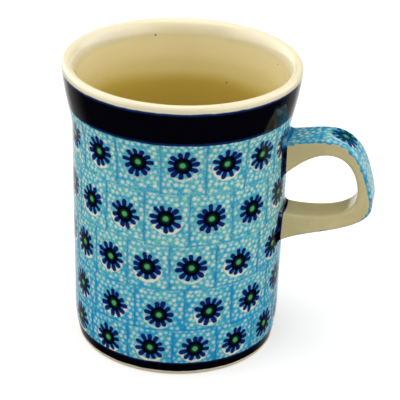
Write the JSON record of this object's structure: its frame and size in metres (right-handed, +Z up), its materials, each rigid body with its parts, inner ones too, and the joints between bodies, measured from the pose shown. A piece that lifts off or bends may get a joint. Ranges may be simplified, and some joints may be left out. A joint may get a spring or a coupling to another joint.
{
  "type": "stoneware mug",
  "caption": "Straight-sided stoneware mug with a softly flared rim, stamped flower pattern and a strap handle, for hot and cold drinks.",
  "frame": {"origin": "on the cup's axis at the plane that the mug stands on", "axes": "+Z up along the cup's axis, +X from the axis towards the handle, +Y across the handle"},
  "size_m": [0.1073, 0.0808, 0.1015],
  "materials": {
    "decorated_glaze": "clear gloss glaze over stamped turquoise, cobalt and green underglaze",
    "cream_glaze": "clear gloss glaze over cream clay with a few iron specks",
    "cobalt_slip": "dark cobalt slip under gloss glaze"
  },
  "bodies": {
    "root": {"cup_body": "decorated_glaze", "handle": "cream_glaze", "upper_slip_joint": "cobalt_slip", "lower_slip_joint": "cobalt_slip"}
  },
  "joints": []
}
